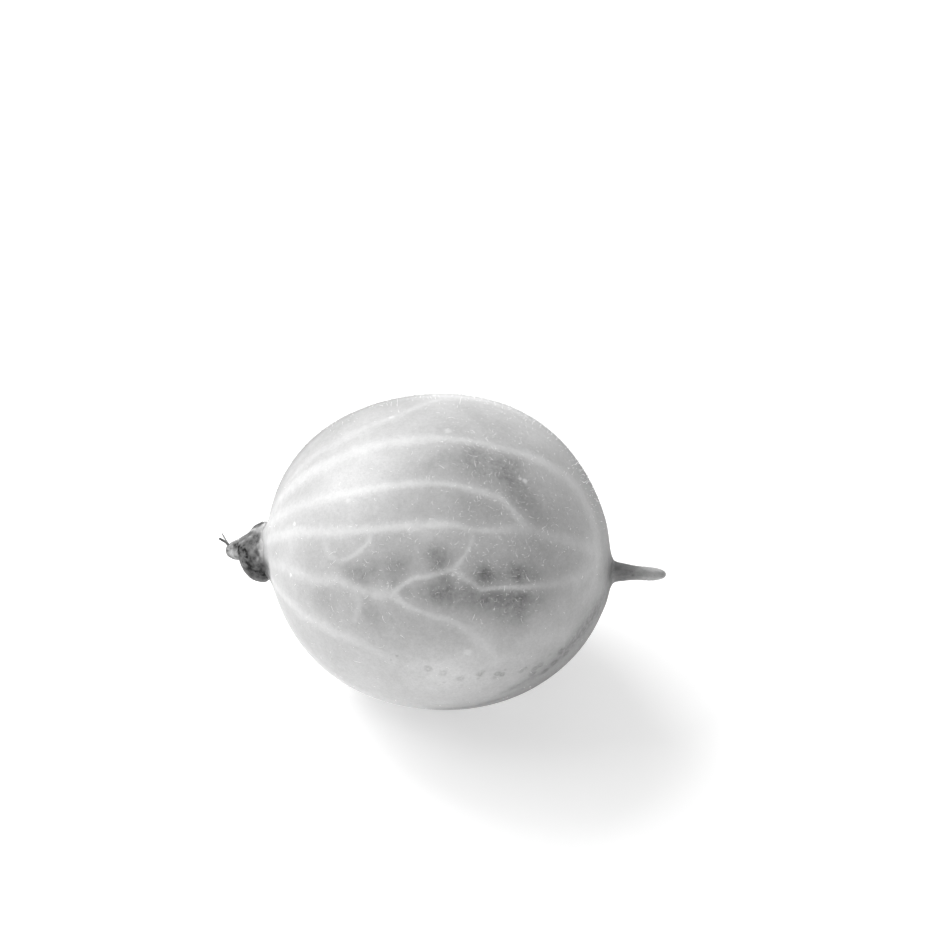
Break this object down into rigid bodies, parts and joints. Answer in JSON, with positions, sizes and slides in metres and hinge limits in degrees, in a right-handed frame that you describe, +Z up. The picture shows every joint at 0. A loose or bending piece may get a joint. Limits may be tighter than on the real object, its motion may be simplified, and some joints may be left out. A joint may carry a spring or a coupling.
{
  "type": "gooseberry fruit",
  "caption": "Whole oval gooseberry lying on its side, with pale branching veins under a translucent hairy skin, a short stalk at one end and the dry flower remains at the other.",
  "frame": {"origin": "centre of the plan at floor level, under the berry", "axes": "+X along the fruit's long axis towards the stalk tip, the dry flower at -X; +Z up; the berry rests on the flat spot at z = 0"},
  "size_m": [0.0286, 0.0202, 0.0198],
  "materials": {
    "berry_skin": "translucent satin skin with pale veins, soft dark blotches and fine white hairs",
    "stalk": "matt, darker at the berry, paler towards the tip",
    "dry_calyx": "matt, dark, mottled and wrinkled",
    "dry_petals": "matt, pale, crumpled",
    "dry_style": "matt dry threads"
  },
  "bodies": {
    "root": {"berry": "berry_skin", "stalk": "stalk", "dried_calyx": "dry_calyx", "withered_petals": "dry_petals", "forked_style": "dry_style"}
  },
  "joints": []
}
